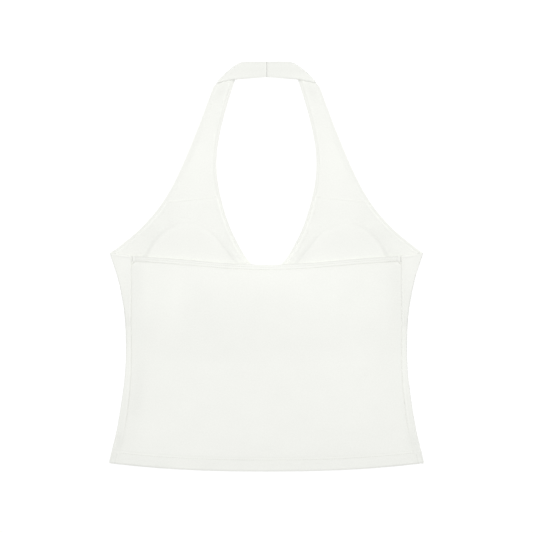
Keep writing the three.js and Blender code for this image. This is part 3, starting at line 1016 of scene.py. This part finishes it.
def lining_height(x, y):
    """Middle of the lining: on the front, and drawn close over each pad's rim"""
    outside, share = past_pad(x, y)
    over_rim = PAD_BASE + PAD_GAP + LINING_CLOTH / 2
    crest = over_rim + pad_rise(1.0)
    if outside >= 0:
        reach = mix(5.0, 4.0, smooth((abs(x) - 98) / 30))
        return mix(LINING_LOW, crest, smooth(1 - outside / reach))
    return over_rim + pad_rise(share)


def rim_painted_light_and_shade(x, y):
    """Painted shade in the crease outside a pad's flanks and painted light just inside them, and even
    above its top
    """
    outside, _ = past_pad(x, y)
    shown = 0.15 + 0.85 * smooth((abs(abs(x) - PAD_MIDDLE[0]) - 6) / 34)
    outer = smooth((abs(x) - 98) / 30)
    crease = smooth((outside + 0.8) / 1.6) * math.exp(-max(0.0, outside) / mix(2.8, 6.0, outer))
    sharp = 0.030 * outer * bell(outside - 0.5, 1.1) * smooth((26 - y) / 16)
    return (0.010 * bell(outside + 2.2, 1.6) - mix(0.056, 0.030, outer) * crease - sharp) * shown


def inset_point(place, at_neck, distance=LINING_INSET):
    """A point of a strap's edge, moved in along its section, to the lining's edge or another line"""
    section = section_at(STRAP, place)
    neck = Vector((section.neck_x, section.neck_y))
    arm = Vector((section.arm_x, section.arm_y))
    inward = (arm - neck).normalized() if at_neck else (neck - arm).normalized()
    return (neck if at_neck else arm) + inward * (distance / edge_sine(STRAP, place, at_neck))


LINING_COLUMNS = 120
LINING_ROWS = 62                # above the underarm
ROW_SINE_AT_NECKLINE = 0.9      # of the angle at which the level rows below it meet the neckline


def lining_row(start, end, first, last, from_top):
    row = []
    width = (end - start).length
    for share in shares(LINING_COLUMNS, width, first, last):
        point = start.lerp(end, share)
        z = lining_height(point.x, point.y)
        # Painted light and shade of the lining: round the pads' rims, a highlight on the ridge along each
        # edge with a soft shade line inside it, a highlight just above the band, and shade along the top
        # edge
        tone = rim_painted_light_and_shade(point.x, point.y)
        ridge_light = 0.058 - 0.030 * bell(point.y - 4, 16) * bell(abs(point.x) - 26, 14)
        ridge_light -= 0.030 * smooth((abs(point.x) - 124) / 26)
        for distance in (share * width * first, (1 - share) * width * last):
            z += 0.34 * bell(distance - 1.0, 0.9) - 0.15 * bell(distance, 0.6)
            tone += ridge_light * bell(distance - 0.8, 0.9) - 0.010 * bell(distance - 3.6, 1.6)
        above_band = point.y - back_top(point.x)
        z += 0.45 * bell(above_band - 0.4, 1.0) - 0.45 * bell(from_top, 2.0)
        tone += 0.024 * bell(above_band - 0.5, 0.8) * smooth((abs(point.x) - 24) / 50)
        tone -= 0.022 * bell(from_top, 1.1)
        row.append(Spot(point.to_3d() + Vector((0, 0, z)), (point.x, point.y), tone))
    return row


def make_lining():
    rows = []
    for level in graded(LINING_BOTTOM, UNDERARM, 1.3, [(LINING_BOTTOM, -12, 3.0)]):
        inner = neckline(level, LINING_INSET)
        outer = side_fold(level) - LINING_SIDE_INSET
        ends = (Vector((inner, level)), Vector((outer, level)))
        rows.append(lining_row(*ends, ROW_SINE_AT_NECKLINE, 1.0, FAR))
    for step in range(1, LINING_ROWS + 1):
        share = step / LINING_ROWS
        neck_place = share * LINING_TOP_AT_NECKLINE
        arm_place = share * LINING_TOP_AT_ARMHOLE
        start = inset_point(neck_place, True)
        end = inset_point(arm_place, False)
        first = edge_sine(STRAP, neck_place, True)
        last = mix(1.0, edge_sine(STRAP, arm_place, False), smooth(step / 4))
        rows.append(lining_row(start, end, first, last, (1 - share) * LINING_RUN))
    mesh = sheet_grid(LINING_COLUMNS, len(rows) - 1, lambda i, j: rows[j][i])
    mirrored(mesh)
    add_painted_light_and_shade(mesh)
    return finished(
        "bust_lining_cloth", mesh, LINING_JERSEY, ["bust_lining"],
        cloth=LINING_CLOTH, edge=0.22,
    )


def make_pad(side):
    """A moulded foam pad: its profile spun about its middle, then drawn out to its outline"""
    mesh = bmesh.new()
    rings = 24
    profile = []
    for step in range(rings + 1):
        share = math.sin(math.pi / 2 * step / rings)
        profile.append(mesh.verts.new((share, 0, pad_rise(share))))
    profile.append(mesh.verts.new((1, 0, 0)))
    profile.append(mesh.verts.new((0, 0, 0)))
    edges = [mesh.edges.new(pair) for pair in zip(profile, profile[1:])]
    bmesh.ops.spin(
        mesh, geom=mesh.verts[:] + edges, cent=(0, 0, 0), axis=(0, 0, 1),
        angle=2 * math.pi, steps=96, use_merge=True,
    )
    bmesh.ops.remove_doubles(mesh, verts=mesh.verts[:], dist=0.0005)
    for vertex in mesh.verts:
        x, y, z = vertex.co
        radius = pad_radius(math.atan2(y, side * x))
        vertex.co = (x * radius + side * PAD_MIDDLE[0], y * radius + PAD_MIDDLE[1], PAD_BASE + z)
    name = "right" if side > 0 else "left"
    pad = finished(f"bust_pad_{name}_foam", mesh, FOAM, [f"bust_pad_{name}"])
    return pad


# Sewing: small threads laid on the finished cloth, with a dark bead at the end of each as the painted
# shade of its needle hole

STITCH = (1.9, 0.5, 0.36)       # length, width and height of a thread that shows
FINE_STITCH = (1.6, 0.35, 0.25)
TACK = (1.6, 0.45, 0.4)
# Size of the dark bead that stands as the painted shade of a needle hole
HOLE_SHADE_SIZE = (0.7, 0.45, 0.2)
STITCH_PITCH = 2.6
FINE_PITCH = 2.3
TACK_PITCH = 0.45
PRESSED_IN = -0.10              # of threads below, which keep the underside flat
STANDS_OUT = 0.06


def bead(size, sides=6, rings=4):
    """A long rounded bead, as a mesh to repeat"""
    shape = bmesh.new()
    bmesh.ops.create_uvsphere(shape, u_segments=sides, v_segments=rings, radius=0.5)
    bmesh.ops.rotate(shape, verts=shape.verts[:], matrix=Matrix.Rotation(math.pi / 2, 3, "Y"))
    bmesh.ops.scale(shape, vec=size, verts=shape.verts[:])
    return as_mesh("bead", shape)


def cloth_faces(piece):
    return BVHTree.FromObject(piece, bpy.context.evaluated_depsgraph_get())


def on_cloth(faces, x, y, below=False):
    """Point of the cloth's upper face, or of its lower one, over a place, and the way out of it"""
    start = Vector((x, y, -20.0 if below else 40.0)) * MM
    place, normal, _, _ = faces.ray_cast(start, Vector((0, 0, 1.0 if below else -1.0)))
    if place is None:
        return None
    return place / MM, normal


def walk(points, pitch):
    """Even steps along a line of points in the plane"""
    here = 0.5 * pitch
    done = 0.0
    for start, end in zip(points, points[1:]):
        length = (end - start).length
        while here <= done + length:
            yield start.lerp(end, (here - done) / length), (end - start).normalized()
            here += pitch
        done += length


def sew(
    mesh, faces, points, below=False, pitch=STITCH_PITCH, thread_shape=None, turn=0.0, hole_shades=True,
    up_to=FAR,
):
    """Adds a row of stitches along a line, wherever the cloth is no higher than up_to, with the painted
    shade of a needle hole after each where asked
    """
    out = PRESSED_IN if below else STANDS_OUT
    for place, along in walk(points, pitch):
        found = on_cloth(faces, place.x, place.y, below)
        if not found or found[0].z > up_to:
            continue
        spot, up = found
        ahead = Vector((along.x, along.y, 0))
        ahead.rotate(Matrix.Rotation(turn, 3, "Z"))
        side = up.cross(ahead).normalized()
        ahead = side.cross(up).normalized()
        frame_here = Matrix((ahead, side, up)).transposed().to_4x4()
        shape = thread_shape or THREAD_BEAD
        put(mesh, shape, Matrix.Translation(spot + up * out) @ frame_here, 0)
        # A dark bead just after each stitch: the painted shade of its needle hole
        if hole_shades:
            hole_shade_spot = spot + Vector((along.x, along.y, 0)) * pitch / 2 - up * 0.02
            put(mesh, HOLE_SHADE_BEAD, Matrix.Translation(hole_shade_spot) @ frame_here, 1)


def put(mesh, shape, place, material_index):
    before = len(mesh.faces)
    copy = shape.copy()
    copy.transform(place)
    mesh.from_mesh(copy)
    bpy.data.meshes.remove(copy)
    mesh.faces.ensure_lookup_table()
    for face in mesh.faces[before:]:
        face.material_index = material_index
        face.smooth = True


THREAD_BEAD = bead(STITCH)
FINE_BEAD = bead(FINE_STITCH)
HOLE_SHADE_BEAD = bead(HOLE_SHADE_SIZE)


def line(x_start, x_end, height_at, count=160):
    across = [mix(x_start, x_end, step / count) for step in range(count + 1)]
    return [Vector((x, height_at(x))) for x in across]


def beside_edge(start, end, at_neck, distance, side, count=150):
    """A line that runs beside a strap's edge, a distance in from it"""
    points = []
    for step in range(count + 1):
        point = inset_point(mix(start, end, step / count), at_neck, distance)
        points.append(Vector((side * point.x, point.y)))
    return points


HEM_ROW_END = 173.2             # half of the rows on the back, between the side seams
HEM_ROW_END_BELOW = 177.5
WING_ROW = (174.5, 179.0)       # ends of the short row on each wing


def make_hem_stitches():
    mesh = bmesh.new()
    for faces, below in ((back_faces, False), (front_faces, True)):
        reach = HEM_ROW_END_BELOW if below else HEM_ROW_END
        for height, shape in ((HEM_DEPTH, THREAD_BEAD), (HEM_SECOND_ROW, FINE_BEAD)):
            row = line(-reach, reach, lambda x: hem(x) + height)
            sew(mesh, faces, row, below, thread_shape=shape, hole_shades=shape == THREAD_BEAD)
    for side in (-1, 1):
        ends = [side * end for end in WING_ROW]
        sew(mesh, front_faces, line(*ends, lambda x: hem(x) + HEM_DEPTH, 4))
    return finished("hem_stitches", mesh, [THREAD, NEEDLE_HOLE_SHADE])


BAND_ROWS = (2.8, 5.4)          # depths below the band's upper edge


def make_band_stitches():
    mesh = bmesh.new()
    for depth in BAND_ROWS:
        row = line(-BAND_END + 1, BAND_END - 1, lambda x: back_top(x) - depth)
        sew(mesh, band_faces, row, pitch=FINE_PITCH)
    return finished("band_stitches", mesh, [THREAD, NEEDLE_HOLE_SHADE])


EDGE_ROW = 3.5                  # from the edge to its row, outside
EDGE_ROW_INSIDE = 3.3
BELOW_BAND = 1.6                # a height between the strap's inside and the neck band over it


def make_edge_stitches():
    """Rows along the neckline and the armholes, which show inside only above the lining. Their ends
    are counted in strap sections."""
    mesh = bmesh.new()
    for side in (-1, 1):
        inside = beside_edge(3.75, 10.9, True, EDGE_ROW_INSIDE, side)
        sew(mesh, front_faces, inside, thread_shape=FINE_BEAD, hole_shades=False, up_to=BELOW_BAND)
        sew(mesh, front_faces, beside_edge(0.0, 10.7, True, EDGE_ROW, side), True)
        sew(mesh, front_faces, beside_edge(0.15, 10.2, False, EDGE_ROW, side), True)
    return finished("edge_stitches", mesh, [THREAD, NEEDLE_HOLE_SHADE])


LINING_ROW = 1.6                # below the lining's top edge


def make_lining_stitches():
    mesh = bmesh.new()
    for side in (-1, 1):
        start = inset_point(LINING_TOP_AT_NECKLINE, True)
        end = inset_point(LINING_TOP_AT_ARMHOLE, False)
        ends = [Vector((side * p.x, p.y - LINING_ROW)) for p in (start, end)]
        row = [ends[0].lerp(ends[1], i / 20) for i in range(21)]
        sew(mesh, lining_faces, row, pitch=FINE_PITCH, thread_shape=FINE_BEAD, hole_shades=False)
    return finished("lining_stitches", mesh, [THREAD, NEEDLE_HOLE_SHADE])


TACK_ENDS = [(156.6, 1.9), (152.4, 5.0)]


def make_tacks():
    """Bar tacks that hold the ends of the back's band"""
    mesh = bmesh.new()
    bar = bead(TACK)
    for side in (-1, 1):
        ends = [Vector((side * x, y)) for x, y in TACK_ENDS]
        sew(mesh, back_faces, ends, pitch=TACK_PITCH, thread_shape=bar, turn=math.pi / 2, hole_shades=False)
    return finished("bar_tacks", mesh, [THREAD])


front = make_front()
back = make_back()
band = make_band()
lining = make_lining()
make_pad(-1)
make_pad(1)

front_faces = cloth_faces(front)
back_faces = cloth_faces(back)
band_faces = cloth_faces(band)
lining_faces = cloth_faces(lining)
hem_stitches = make_hem_stitches()
band_stitches = make_band_stitches()
edge_stitches = make_edge_stitches()
lining_stitches = make_lining_stitches()
bar_tacks = make_tacks()
